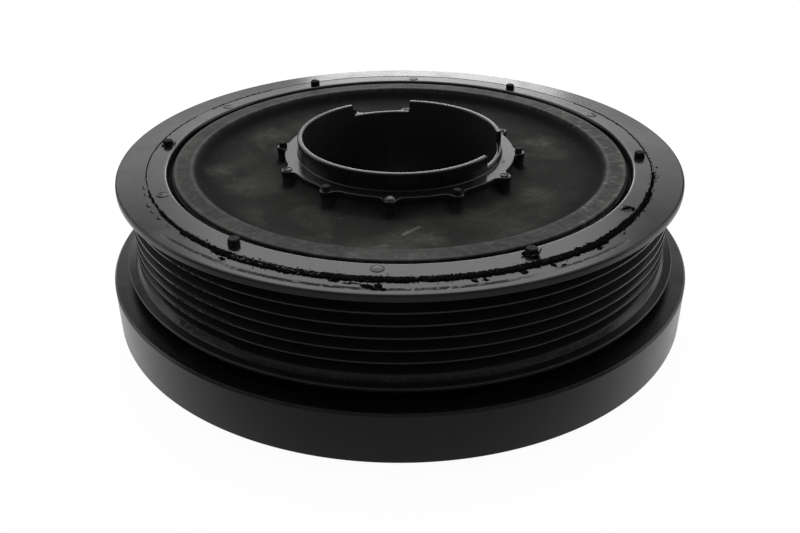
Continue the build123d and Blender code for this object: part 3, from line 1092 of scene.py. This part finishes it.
@dataclass
class Sleeve:
    """Sleeve with a lobed flange and a collar that has two notches."""

    datum: Datum
    stations: Stations
    bore: float = 30.1
    wall: float = 1.6
    flange_top: float = 46.6
    flange_thickness: float = 1.8
    flange_root: float = 35.8
    lobe: float = 1.95
    lobe_blend: float = 2.6
    flange_edge: float = 0.22
    foot_blend: float = 0.35
    rim_round: float = 0.42
    notches: tuple[float, ...] = (102.5, -17.0)
    notch_span: float = 37.4
    notch_depth: float = 3.75
    notch_corner: float = 0.5
    notch_end: float = 0.12  # run of a notch's end wall along the circle
    beside: float = 0.06  # short edge beside an arc
    quarter: tuple[float, ...] = tuple(math.radians(a) for a in (0, 30, 60, 90))

    def lobed_outline(self) -> list[tuple[Vector, Vector]]:
        """Flange outline with one lobe at each station.

        Returns:
            Points and their outward directions, round the axis.
        """
        span = self.flange_root + self.lobe_blend
        reach = self.lobe + self.lobe_blend
        centre = self.stations.lobe_circle
        offset = math.acos((span ** 2 + centre ** 2 - reach ** 2) / (2 * span * centre))
        blend = Vector((span * math.cos(offset), span * math.sin(offset)))
        swing = math.atan2(blend.y, blend.x - centre)
        root_end = math.radians(360 / self.stations.count) - offset
        step = root_end + offset
        far = turned_by(Vector((blend.x, -blend.y)), step)
        # middle, radius, bearings of the ends, side that faces outwards, facets
        arcs = (
            (Vector((centre, 0)), self.lobe, -swing, swing, 1, 14),
            (blend, self.lobe_blend, math.pi + swing, math.pi + offset, -1, 7),
            (Vector((0, 0)), self.flange_root, offset, root_end, 1, 9),
            (far, self.lobe_blend, math.pi + root_end, math.pi + step - swing, -1, 7),
        )
        outline = []
        for bearing in self.stations.bearings():
            turn = math.radians(bearing)
            for middle, radius, start, end, side, steps in arcs:
                for n in range(steps):
                    spoke = turned_by(Vector((1, 0)), start + (end - start) * n / steps)
                    outline.append((turned_by(middle + spoke * radius, turn),
                                    turned_by(spoke * side, turn)))
        return outline

    def flange(self) -> Piece:
        """Lobed flange with a rounded edge.

        Returns:
            The flange.
        """
        e = self.flange_edge
        low, top = self.flange_top - self.flange_thickness, self.flange_top
        arc = [(e * math.cos(a) - e, e * math.sin(a) - e) for a in self.quarter]
        profile = [(-e - self.beside, low), *((out, low - up) for out, up in reversed(arc)),
                   *((out, top + up) for out, up in arc), (-e - self.beside, top)]
        sections = []
        for spot, outward in self.lobed_outline():
            hub = spot.normalized() * (self.bore + self.wall / 2)
            sections.append([(*(spot + outward * out), height) for out, height in profile]
                            + [(*hub, top), (*hub, low)])
        return swept("sleeve_flange", sections)

    def crest_line(self) -> list[Point]:
        """Height of the collar's rim against the bearing, with the notches' corners rounded.

        Returns:
            Bearings in degrees and heights, once round.
        """
        middle = self.bore + self.wall / 2
        per_degree = math.radians(1) * middle
        top, floor = self.datum.collar_top, self.datum.collar_top - self.notch_depth
        corners = []
        for centre in sorted(self.notches):
            start, end = (((centre + side * self.notch_span / 2) * per_degree) for side in (-1, 1))
            corners += [(start - self.notch_end, top, 0.25), (start, floor, self.notch_corner),
                        (end, floor, self.notch_corner), (end + self.notch_end, top, 0.25)]
        first = corners[0][0] - 6
        line = rounded([(first, top), *corners, (first + 360 * per_degree, top)], 4)
        dense = []
        for (s0, z0), (s1, z1) in zip(line, line[1:]):
            count = max(1, round((s1 - s0) / 0.7))
            dense += [((s0 + (s1 - s0) * n / count) / per_degree, z0 + (z1 - z0) * n / count)
                      for n in range(count)]
        return dense

    def collar(self) -> Piece:
        """Tube of the sleeve with its notched rim.

        Returns:
            The collar.
        """
        inner, outer, e = self.bore, self.bore + self.wall, self.rim_round
        low, foot, blend = self.datum.sleeve_low, self.flange_top, self.foot_blend
        arc = [(math.cos(a), math.sin(a)) for a in self.quarter]
        bottom = [(outer + blend - blend * c, foot + blend - blend * s) for c, s in arc]
        bottom += [(outer + blend, foot - 0.4), (outer, foot - 0.4), (outer, low)]
        sections = []
        for bearing, crest in self.crest_line():
            rim = crest - e
            profile = [(inner, low), (inner, foot), (inner, rim - self.beside),
                       *((inner + e - e * c, rim + e * s) for c, s in arc),
                       *((outer - e + e * s, rim + e * c) for c, s in arc),
                       (outer, rim - self.beside), (outer, foot + blend + BESIDE), *bottom]
            sections.append([on_circle(r, bearing, z) for r, z in profile])
        return swept("sleeve_tube", sections)

    def dress(self) -> None:
        """Joins flange and collar and coats them."""
        edges = (Edge(self.bore + self.wall / 2, self.datum.collar_top, 1.0),)
        # painted light: a paler band all round the bore, a painted sheen on the collar's dark
        # interior; the half angle is more than a full turn, so the mark fades nowhere
        painted_inner_sheen = Mark(0.0, 310.0, self.bore - 0.5, 1.2, 0.3)
        coat = Coat("sleeve_coat", colour=(0.009, 0.009, 0.0095), roughness=0.19, peel=0.002,
                    turning=0.3, dust=0.08, edges=edges, rubbed=(painted_inner_sheen,))
        piece = join("notched_sleeve", [self.collar(), self.flange()])
        finish_piece(piece, "coated_steel", "inner_sleeve", material=coat.build())


@dataclass
class Membrane:
    """Rubber spring of the coupling, moulded through the ring and the sleeve."""

    datum: Datum
    stations: Stations
    ring_bore: float = 70.9
    gap: float = 1.5
    ledge_width: float = 0.6  # of the step on the bead's outer side
    ledge_drop: float = 1.2
    gap_floor: float = 0.6
    crown_drop: float = 0.35
    bowl: tuple[Point, ...] = ((60.7, 0.85), (55.0, 0.3), (48.0, 0.0))  # radius, height
    bead: float = 5.9
    slope: float = 3.6
    dish: float = 4.6
    thickness: float = 4.4
    sleeve: float = 31.7
    wall: float = 3.5
    flange_low: float = 44.8
    flange_top: float = 46.6
    foot: float = 2.8
    foot_out: float = 75.66
    ring_peg: Point = (1.62, 1.8)  # radius and height above the ring
    lobe_peg: Point = (1.28, 1.5)
    ring_plug: Point = (1.75, 0.22)
    lobe_plug: Point = (1.35, 0.4)
    pillar_radius: float = 1.85
    rubbed_places: tuple[tuple[float, float, float], ...] = (
        (-87.0, 49.5, 9.0), (-94.0, 53.0, 7.0), (-80.0, 52.0, 6.0), (20.0, 50.0, 9.0),
        (60.0, 48.0, 8.0), (150.0, 50.0, 9.0), (-174.0, 56.0, 7.0), (-160.0, 50.0, 8.0),
        (-30.0, 46.0, 9.0), (-87.5, 67.0, 2.4), (-100.0, 67.0, 3.0))
    strokes: tuple[Stroke, ...] = (
        Stroke((0.9, -47.8), (5.2, -43.3), 0.75, 0.9), Stroke((0.9, -47.8), (2.2, -46.0), 0.5, 0.8),
        Stroke((-6.6, -55.2), (-3.6, -54.6), 0.9, 0.3),
        Stroke((-18.4, -54.2), (-15.2, -55.0), 0.8, 0.3),
        Stroke((22.0, -61.5), (23.4, -60.4), 0.5, 0.35),
        Stroke((-45.0, 30.0), (-44.2, 31.0), 0.6, 0.35))

    def body(self) -> Piece:
        """Bead, slope, dished disc, wall round the sleeve and foot below the ring.

        Returns:
            The rubber body.
        """
        low, top, sleeve = self.datum.ring_low, self.datum.ring_top, self.sleeve
        crown, disc = top - self.crown_drop, top - self.dish
        bead_out = self.ring_bore - self.gap
        bead_in = bead_out - self.bead
        ledge, step = bead_out + self.ledge_width, crown - self.ledge_drop
        floor, under, foot = low + self.gap_floor, disc - self.thickness, low - self.foot
        corners = [
            (sleeve, under), (bead_in - self.slope, under, 2.0), (bead_out, foot, 1.0),
            (self.foot_out, foot, 0.5), (self.foot_out, low), (self.ring_bore, low),
            (self.ring_bore, floor), (ledge, floor, 0.3), (ledge, step, 0.15),
            (bead_out, step, 0.12), (bead_out, crown, 0.45), (bead_in, crown, 0.9),
            *((radius, disc + height, 2.5) for radius, height in self.bowl),
            (sleeve + self.wall, disc, 3.2), (sleeve + self.wall, self.flange_low),
            (sleeve, self.flange_low),
        ]
        return turned("membrane_body", rounded(corners, 6))

    def pillar(self) -> Piece:
        """Pillar under a lobe, with a foot that flares into the disc. It faces outwards along X.

        Returns:
            The pillar, centred on its lobe.
        """
        disc = self.datum.ring_top - self.dish
        depth = self.stations.lobe_circle - self.sleeve
        flares = [(disc - 1.0, 1.2), (disc, 0.85), (disc + 0.25, 0.42), (disc + 0.7, 0.12),
                  (disc + 1.4, 0.0), (self.flange_low - 0.3, -0.02), (self.flange_low + 0.1, 0.02)]
        sections = []
        for height, flare in flares:
            radius = self.pillar_radius + flare
            sections.append([on_circle(radius, a, height) for a in range(-90, 91, 15)]
                            + [(-depth, radius, height), (-depth, -radius, height)])
        return swept("pillar", sections, round_trip=False)

    @staticmethod
    def peg(size: Point, base: float, chips: float, seed: int) -> Piece:
        """Rubber peg torn off above the metal, with a chipped top.

        Args:
            size: Radius and height.
            base: Height of the metal's face.
            chips: Depth of the chips.
            seed: Seed of the chips.

        Returns:
            The peg, on the origin's axis.
        """
        radius, height = size
        top = base + height
        noise.seed_set(seed)
        corners = [(AXIS, base - SUNK), (radius, base - SUNK), (radius, base + 0.05, 0.1),
                   (radius * 0.93, base + 0.25, 0.2), (radius * 0.9, top - 0.1, 0.28),
                   (radius * 0.5, top, 0.2), (AXIS, top - 0.18)]
        piece = domed("peg", rounded(corners), 18)
        for vertex in piece.data.vertices:
            above = vertex.co.z / MM - base
            if above > 0.2:  # the foot stays whole
                chip = noise.noise_vector(vertex.co / MM * 1.4 + Vector((seed, 0, 0)))
                chip *= chips * min(1.0, above)
                chip.z = min(chip.z, 0.0)
                vertex.co += chip * MM
        return smooth(piece)

    @staticmethod
    def plug(size: Point, base: float) -> Piece:
        """Plug cut flush and pressed to a low dome with a rolled rim.

        Args:
            size: Radius and height.
            base: Height of the metal's face.

        Returns:
            The plug, on the origin's axis.
        """
        radius, rise = size
        rows = [(AXIS, base - SUNK), (radius, base - SUNK), (radius, base - 0.02)]
        rows += [(radius * (1 - 0.06 * n), base + rise * (0.35 + 0.4 * math.sin(math.pi * n / 3)))
                 for n in range(4)]
        rows += [(radius * 0.74 * (1 - n / 6) + AXIS, base + rise * (0.35 + 0.65 * (n / 6) ** 0.6))
                 for n in range(1, 7)]
        return domed("plug", rows, 22)

    def dress(self) -> None:
        """Builds the rubber, its pillars, pegs and plugs."""
        top, flange = self.datum.ring_top, self.flange_top
        rubber = Rubber("membrane_rubber", rubbed_places=self.rubbed_places, strokes=self.strokes)
        # darker copies of the membrane's rubber, with paler tops above the given heights; on the
        # pillars under the lobes the darker rubber is painted shade
        pale_top_heights = {"pillar": 99.0, "ring_peg": top + self.ring_peg[1],
                 "lobe_peg": flange + self.lobe_peg[1]}
        dark = {key: Rubber(f"{key}_rubber", colour=(0.008, 0.008, 0.008), dust=0.2,
                            pale_above=above, roughness=0.5).build()
                for key, above in pale_top_heights.items()}
        cut = Gloss("cut_rubber", colour=(0.012, 0.012, 0.012), roughness=0.2, dullness=0.3,
                    lumps=0.03, grain=0.8).build()
        slot = "coupling_rubber"
        finish_piece(self.body(), slot, "coupling_membrane", material=rubber.build())
        ring, lobes = self.stations.ring_circle, self.stations.lobe_circle
        stand, flush = Station.STANDING, Station.FLUSH
        # the unit, its circle and kind of station, spread and seed of its size, and its look
        units = (
            ("rubber_pillars", self.pillar(), lobes, None, 0.03, 3, dark["pillar"]),
            ("ring_pegs", self.peg(self.ring_peg, top, 0.3, 5), ring, stand, 0.08, 5,
             dark["ring_peg"]),
            ("lobe_pegs", self.peg(self.lobe_peg, flange, 0.22, 9), lobes, stand, 0.06, 9,
             dark["lobe_peg"]),
            ("ring_plugs", self.plug(self.ring_plug, top), ring, flush, 0.04, 11, cut),
            ("lobe_plugs", self.plug(self.lobe_plug, flange), lobes, flush, 0.05, 13, cut),
        )
        for name, unit, circle, kind, spread, seed, look in units:
            bearings = self.stations.bearings(kind)
            piece = station_tree().grow(
                unit, Radius=circle * MM, Count=len(bearings), Phase=math.radians(bearings[0]),
                Spread=spread, Seed=seed, Material=look)
            piece.name = name
            finish_piece(smooth(piece), slot)


@dataclass(frozen=True)
class Smear:
    """Stretch of sealant or flash: bearings of its ends, mid radius and half breadth."""

    start: float
    end: float
    radius: float
    breadth: float
    drift: float = 0.0  # change of the radius from end to end


def smeared(name: str, smears: Sequence[Smear], height: float, spacing: float,
            taper: float) -> Piece:
    """Line of points along smears, with each point's breadth.

    Args:
        name: The line's name.
        smears: The stretches.
        height: Height of the line in millimetres.
        spacing: Distance between points.
        taper: Share of a stretch over which each end thins out.

    Returns:
        The line, with an attribute for the breadth in metres.
    """
    points, edges, breadths = [], [], []
    for smear in smears:
        length = abs(math.radians(smear.end - smear.start)) * smear.radius
        count = max(4, round(length / spacing))
        for n in range(count + 1):
            share = n / count
            bearing = smear.start + (smear.end - smear.start) * share
            fade = math.sin(math.pi / 2 * min(1.0, share / taper, (1 - share) / taper))
            ragged = 1 + 0.2 * noise.noise(Vector((bearing * 1.3, smear.radius, 0)))
            wander = 0.25 * noise.noise(Vector((bearing * 0.6, 4.0, 0))) + smear.drift * share
            if n:
                edges.append((len(points) - 1, len(points)))
            points.append(tuple(on_circle(smear.radius + wander, bearing, height)))
            breadths.append(smear.breadth * ragged * max(fade, 0.15) * MM)
    line = new_piece(name, points, edges=edges)
    line.data.attributes.new("breadth", "FLOAT", "POINT").data.foreach_set("value", breadths)
    return line


@dataclass
class Sealant:
    """Black sealant pressed out of the seam, in a ragged bead with drops and crumbs beside it."""

    datum: Datum
    spacing: float = 0.22
    taper: float = 0.06
    smears: tuple[Smear, ...] = (
        Smear(-205, -158, 77.0, 0.1), Smear(-158, -144, 77.1, 0.35, 0.4),
        Smear(-147, -133, 77.5, 0.6, 0.8), Smear(-136, -123, 78.2, 0.95, 0.7),
        Smear(-126, -86, 79.15, 1.35), Smear(-88, -48, 79.1, 1.35),
        Smear(-51, -38, 78.8, 1.15, -1.1), Smear(-41, -24, 77.8, 0.85, -0.7),
        Smear(-26, -13, 76.9, 0.45), Smear(-13, 12, 76.6, 0.16), Smear(12, 36, 77.0, 0.14),
        Smear(128, 150, 77.2, 0.16),
    )
    drops: tuple[Smear, ...] = (
        Smear(-160.6, -158.0, 78.0, 0.55), Smear(-156.6, -154.6, 78.3, 0.5),
        Smear(-151.4, -149.2, 79.1, 0.65), Smear(-148.0, -146.4, 79.4, 0.5),
        Smear(-144.8, -142.6, 79.2, 0.6, 0.2), Smear(-140.2, -139.0, 79.4, 0.35),
    )
    rags: tuple[Smear, ...] = (
        Smear(-122.9, -121.3, 81.4, 0.6), Smear(-102.2, -99.9, 80.9, 0.4, 0.3),
        Smear(-99.5, -96.4, 81.4, 0.35), Smear(-96.6, -94.0, 81.9, 0.75, 0.8),
        Smear(-95.4, -91.8, 83.1, 0.5, 0.4), Smear(-94.2, -92.9, 81.2, 0.9, 1.4),
        Smear(-78.2, -77.2, 80.6, 0.7, 1.6), Smear(-76.6, -75.4, 80.8, 0.6, 1.2),
        Smear(-69.6, -68.2, 80.6, 0.9, 0.9), Smear(-63.7, -62.5, 80.8, 0.7, 0.9),
        Smear(-62.0, -60.8, 82.2, 0.3), Smear(-53.0, -51.6, 81.1, 0.6),
        Smear(-45.0, -43.8, 80.4, 0.4), Smear(-21.8, -19.6, 78.7, 0.3),
        Smear(-17.0, -14.4, 78.4, 0.3), Smear(-11.4, -9.2, 78.1, 0.28),
    )
    bubbles: Smear = Smear(-121, -104, 79.1, 0.6)
    crumb_reach: float = 0.4  # beyond the bead's edge
    crumb_seed: int = 21

    def dress(self) -> None:
        """Lays the bead and the drops and scatters the crumbs."""
        height = self.datum.rim_top
        skin = Gloss("seam_sealant_skin", colour=(0.002, 0.002, 0.0018), dullness=0.7,
                     roughness=0.4, shining=0.2, shine=0.02, grain=0.35).build()
        wet = Gloss("sealant_drop_skin", roughness=0.08, dullness=0.3, shining=0.7, lumps=0.08,
                    shine=0.5).build()
        # stretches, height, spacing, taper, lump, grain, flatness and skin
        beads = {
            "sealant_bead": (self.smears, -0.02, self.spacing, self.taper, 0.95, 0.34, 0.26, skin),
            "sealant_drops": (self.drops, -0.1, 0.25, 0.5, 0.35, 0.9, 0.75, wet),
            "sealant_rags": (self.rags, -0.08, 0.2, 0.35, 0.95, 0.5, 0.2, skin)}
        for name, (smears, lift, spacing, taper, lump, grain, flatness, look) in beads.items():
            line = smeared(name, smears, height + lift, spacing, taper)
            bead = bead_tree().grow(line, Lump=lump * MM, Grain=grain * MM, Flatness=flatness,
                                    Material=look)
            nodes = ("seam_sealant",) if name == "sealant_bead" else ()
            finish_piece(smooth(bead), "sealant", *nodes)
        # stretches, height, share of the points, smallest and largest, and skin
        crumbs = {
            "sealant_crumbs": (self.smears[3:9], 0.1, 0.55, 0.08, 0.26, skin),
            "sealant_sparkles": (self.smears[3:9], 0.22, 0.07, 0.07, 0.16, wet),
            "sealant_bubbles": ((self.bubbles,), 0.26, 0.8, 0.14, 0.36, wet)}
        for name, (smears, lift, share, smallest, largest, look) in crumbs.items():
            line = smeared(name, smears, height + lift, self.spacing, self.taper)
            scattered = crumb_tree().grow(
                line, Share=share, Reach=self.crumb_reach * MM, Smallest=smallest * MM,
                Largest=largest * MM, Seed=self.crumb_seed, Material=look)
            finish_piece(smooth(scattered, recalculate=False), "sealant")


@dataclass
class Flash:
    """Thin rubber torn from the mould's runners: frills round two pegs, a curl and two burrs."""

    datum: Datum
    stations: Stations
    # bearing of the peg, size of the skirt, direction and height of the fin that stands in it
    frilled: tuple[tuple[float, ...], ...] = ((295.8, 1.0, -25.0, 2.2), (175.8, 0.6, 200.0, 0.6))
    fin_half_angle: float = 0.33  # in radians
    skin: float = 0.16  # thickness of a skirt
    curl: tuple[Smear, ...] = (Smear(-35.5, -33.0, 73.3, 0.7, 1.7),
                               Smear(-33.05, -34.1, 75.0, 0.62, 1.3),
                               Smear(-34.6, -33.6, 73.9, 0.6, 0.5))
    burrs: tuple[Smear, ...] = (Smear(-0.6, 2.6, 32.4, 0.5, 0.6),)
    lump: tuple[Smear, ...] = (Smear(119.0, 122.4, 31.0, 0.65),)
    collar_foot: float = 48.15
    bulge: tuple[float, float, float] = (265.8, 1.55, 0.95)  # bearing, radius and height
    flange_top: float = 46.6

    def frill(self, bearing: float, size: float, fin: float, height: float,
              seed: int) -> Piece:
        """Ragged skirt of torn rubber round the foot of a peg.

        Args:
            bearing: The peg's bearing.
            size: How far the skirt reaches, where 1 is about a millimetre.
            fin: Direction from the peg to the fin, in degrees.
            height: The fin's height in millimetres.
            seed: Seed of its tears.

        Returns:
            The skirt.
        """
        middle = on_circle(self.stations.ring_circle, bearing, self.datum.ring_top)
        rows: list[list[Vector]] = []
        for way in range(0, 360, 10):
            spoke = on_circle(1.0, way, 0.0)
            torn, wide, tall = (
                noise.noise(spoke * pitch + Vector((shift, 0, seed))) * swing
                for pitch, shift, swing in ((5.0, 0, 0.3), (1.3, 0, 1.5), (1.1, 7, 2.2)))
            reach, lift = (max(0.0, rest + torn) * size for rest in (0.55 + wide, 0.3 + tall))
            away = math.remainder(math.radians(way - fin), 2 * math.pi)
            lift += height * math.exp(-(away / self.fin_half_angle) ** 2)
            rows.append([middle + spoke * out + Vector((0, 0, up)) for out, up in
                         ((1.5, 0.02), (1.7 + 0.6 * reach, 0.10 + 0.45 * lift),
                          (1.75 + reach, 0.05 + lift))])
        skin = swept("frill", rows, ring=False)
        thick = skin.modifiers.new("thickness", "SOLIDIFY")
        thick.thickness, thick.offset = self.skin * MM, 0.0
        return baked(skin, thick)

    def bulged_plug(self) -> Piece:
        """Plug on one lobe that swelled to a dome.

        Returns:
            The plug.
        """
        bearing, radius, height = self.bulge
        rows = [(radius * math.cos(a), self.flange_top + height * math.sin(a))
                for a in (math.radians(-20 + 12 * n) for n in range(10))]
        rows = [(AXIS, rows[0][1]), *rows[:-1], (AXIS, self.flange_top + height)]
        dome = domed("bulged_plug", rows, 28)
        middle = on_circle(self.stations.lobe_circle, bearing, 0) * MM
        for vertex in dome.data.vertices:
            wobble = noise.noise(vertex.co / MM * 0.9) * 0.12 * MM
            vertex.co += middle + vertex.normal * wobble
        return smooth(dome)

    def dress(self) -> None:
        """Builds the frills, the curl, the swollen plug and the burrs."""
        torn = Gloss("torn_flash", roughness=0.06, dullness=0.3, shining=0.7, lumps=0.1, grain=0.9,
                     shine=0.9).build()
        frills = [self.frill(*spot, seed) for seed, spot in enumerate(self.frilled, 31)]
        finish_piece(smooth(join("peg_flash", frills), recalculate=False), "coupling_rubber",
                     material=torn)
        # painted highlight: this plug's rubber is much paler than the rest, standing in for the
        # broad highlight on its dome
        swollen = Gloss("swollen_plug_painted_highlight", colour=(0.07, 0.07, 0.068), roughness=0.26, dullness=0.34,
                        lumps=0.03, shine=0.9)
        finish_piece(self.bulged_plug(), "coupling_rubber", material=swollen.build())
        dull = Gloss("curl_rubber", shine=0.03, dullness=0.7, roughness=0.4, lumps=0.1).build()
        heights = {"plug_curl": (self.curl, self.datum.ring_top + 0.1),
                   "collar_burr": (self.burrs, self.datum.collar_top - 0.7),
                   "notch_lump": (self.lump, self.collar_foot + 0.25)}
        for name, (smears, height) in heights.items():
            piece = bead_tree().grow(smeared(name, smears, height, 0.2, 0.4), Lump=0.3 * MM,
                                     Grain=0.7 * MM, Flatness=0.7, Material=dull)
            finish_piece(smooth(piece), "coupling_rubber")


@dataclass
class DamperRubber:
    """Rubber track between the hub's rim and the inertia ring, hollowed at both ends."""

    bore: float = 62.0
    hollow: float = 0.7
    hollow_round: float = 2.6

    def dress(self) -> None:
        """Turns the track and gives it its rubber."""
        low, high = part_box("damper_rubber")
        bottom, top, outer = low.z / MM, high.z / MM, high.x / MM
        middle = (self.bore + outer) / 2
        corners = [(self.bore, bottom), (middle, bottom + self.hollow, self.hollow_round),
                   (outer, bottom), (outer, top), (middle, top - self.hollow, self.hollow_round),
                   (self.bore, top)]
        rubber = Gloss("track_rubber", colour=(0.012, 0.012, 0.0115), dullness=0.75, roughness=0.5,
                       shining=0.3, shine=0.2, grain=0.3).build()
        piece = smooth(turned("damper_rubber_track", rounded(corners, 6)))
        finish_piece(piece, "damper_rubber", "damper_rubber", material=rubber)


@dataclass
class HiddenCore:
    """Hub and bush, whose solids are shown as they are."""

    def dress(self) -> None:
        """Gives the two solids their finishes."""
        finishes = {
            # painted light: the hub's coat is paler than the other coats, which lightens the
            # collar's shaded interior where the hub shows through it
            "crank_hub": Coat("hub_coat", colour=(0.03, 0.03, 0.031), roughness=0.34,
                              turning=0.6, dust=0.3),
            "bearing_bush": Rubber("bush_plastic", colour=(0.03, 0.03, 0.03), roughness=0.45,
                                   dust=0.1),
        }
        for node, finish in finishes.items():
            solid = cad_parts[node]
            solid.data.materials.clear()
            solid.data.materials.append(finish.build())
            logging.info("%s: CAD solid dressed", node)


# --- studio ---


@dataclass(frozen=True)
class Softbox:
    """Area lamp: place and size in metres, and how bright its face is, where white is 1."""

    name: str
    place: tuple[float, float, float]
    breadth: float
    height: float
    brightness: float

    def hang(self) -> None:
        """Hangs the lamp, turned towards the damper."""
        data = bpy.data.lights.new(self.name, "AREA")
        data.shape, data.size, data.size_y = "RECTANGLE", self.breadth, self.height
        data.energy = self.brightness * math.pi * self.breadth * self.height
        lamp = linked(self.name, data)
        lamp.location = self.place
        lamp.rotation_euler = (-Vector(self.place)).to_track_quat("-Z", "Y").to_euler()


@dataclass
class Studio:
    """Pale floor, softboxes, white surroundings and the camera."""

    camera_place: tuple[float, float, float] = (0.0, -0.2504, 0.1480)
    target: tuple[float, float, float] = (0.0, 0.0, 0.0151)
    lens: float = 38.586
    shift_up: float = -0.0360
    roll: float = -0.154
    softboxes: tuple[Softbox, ...] = (
        Softbox("overhead_back_softbox", (0.0, 0.5, 1.25), 2.4, 1.2, 0.75),
        Softbox("high_back_softbox", (0.0, 1.0, 1.15), 1.0, 1.0, 1.18),
        Softbox("back_softbox", (0.0, 1.4, 0.85), 0.9, 0.5, 0.8),
        Softbox("low_back_softbox", (-0.1, 1.6, 0.65), 2.0, 0.34, 1.03),
        Softbox("low_strip", (0.08, 1.55, 0.375), 0.56, 0.15, 5.5),
        Softbox("left_softbox", (-1.25, 0.45, 0.45), 1.0, 0.7, 0.7),
        Softbox("right_softbox", (1.25, 0.45, 0.45), 1.0, 0.7, 0.8),
    )
    ambient: float = 0.14
    floor_shine: Point = (0.26, 0.75)  # painted light in a reflection: the floor's glow, in front and behind, dim in front where it stands in for the damper's shadow
    floor_turn: Point = (-0.105, -0.045)  # y where the front ends and the back begins
    floor_grey: Point = (0.9, 0.15)  # lighting the damper, and under the white the camera sees
    floor_glow: float = 0.95
    floor_half_width: float = 4000.0

    def camera(self) -> None:
        """Sets up the camera."""
        data = bpy.data.cameras.new("camera")
        data.sensor_width, data.lens, data.shift_y = 36.0, self.lens, self.shift_up
        data.clip_start, data.clip_end = 0.01, 20.0
        camera = linked("camera", data)
        camera.location = self.camera_place
        look = Vector(self.target) - Vector(self.camera_place)
        camera.rotation_euler = look.to_track_quat("-Z", "Y").to_euler()
        camera.rotation_euler.rotate_axis("Z", math.radians(self.roll))
        bpy.context.scene.camera = camera

    def surroundings(self) -> None:
        """White to the camera, and a low even light to everything else."""
        world = bpy.data.worlds.new("studio")
        bpy.context.scene.world = world
        world.use_nodes = True
        world.node_tree.nodes.clear()
        graph = Graph(world.node_tree)
        seen = graph.add("ShaderNodeLightPath", output="Is Camera Ray")
        strength = seen * (1 - self.ambient) + self.ambient
        glow = graph.add("ShaderNodeBackground", {"Color": (1, 1, 1, 1), "Strength": strength})
        graph.node("ShaderNodeOutputWorld", {"Surface": glow})

    def floor(self) -> None:
        """Pale floor that shows white to the camera and keeps the shadow, and shows painted light
        in reflections: a glow that is dim in front, standing in for the damper's shadow.
        """
        material, place = new_material("studio_floor")
        graph = place.graph
        seen, mirrored = (graph.add("ShaderNodeLightPath", output=f"Is {ray} Ray")
                          for ray in ("Camera", "Glossy"))
        plain, thin = (graph.add("ShaderNodeBsdfDiffuse", {"Color": (grey, grey, grey, 1)})
                       for grey in self.floor_grey)
        front, behind = self.floor_shine
        # painted light: the glow that reflections see, dim in front for the damper's shadow and
        # brighter behind
        shine = place.y.ramp(*self.floor_turn) * (behind - front) + front
        white, image = (graph.add("ShaderNodeEmission", {"Color": (1, 1, 1, 1), "Strength": glow})
                        for glow in (self.floor_glow, shine))
        lit = graph.add("ShaderNodeAddShader", {0: thin, 1: white})
        unseen = graph.add("ShaderNodeMixShader", {0: mirrored, 1: plain, 2: image})
        both = graph.add("ShaderNodeMixShader", {0: seen, 1: unseen, 2: lit})
        graph.node("ShaderNodeOutputMaterial", {"Surface": both})
        s = self.floor_half_width
        floor = new_piece("studio_floor", [(-s, -s, 0), (s, -s, 0), (s, s, 0), (-s, s, 0)],
                          [(0, 1, 2, 3)])
        floor.data.materials.append(material)

    def build(self) -> None:
        """Builds the studio."""
        self.camera()
        for softbox in self.softboxes:
            softbox.hang()
        self.surroundings()
        self.floor()
        bpy.context.scene.view_settings.view_transform = "Standard"


def main() -> None:
    """Builds the studio and the damper."""
    logging.basicConfig(level=logging.INFO, format="%(message)s")
    Studio().build()
    datum, stations = Datum.from_frame(), Stations()
    for part in (InertiaRing(datum), BeltRim(datum), CouplingRing(datum), Sleeve(datum, stations),
                 Membrane(datum, stations), Flash(datum, stations), Sealant(datum),
                 DamperRubber(), HiddenCore()):
        logging.info("building %s", type(part).__name__)
        part.dress()


if __name__ == "__main__":
    main()
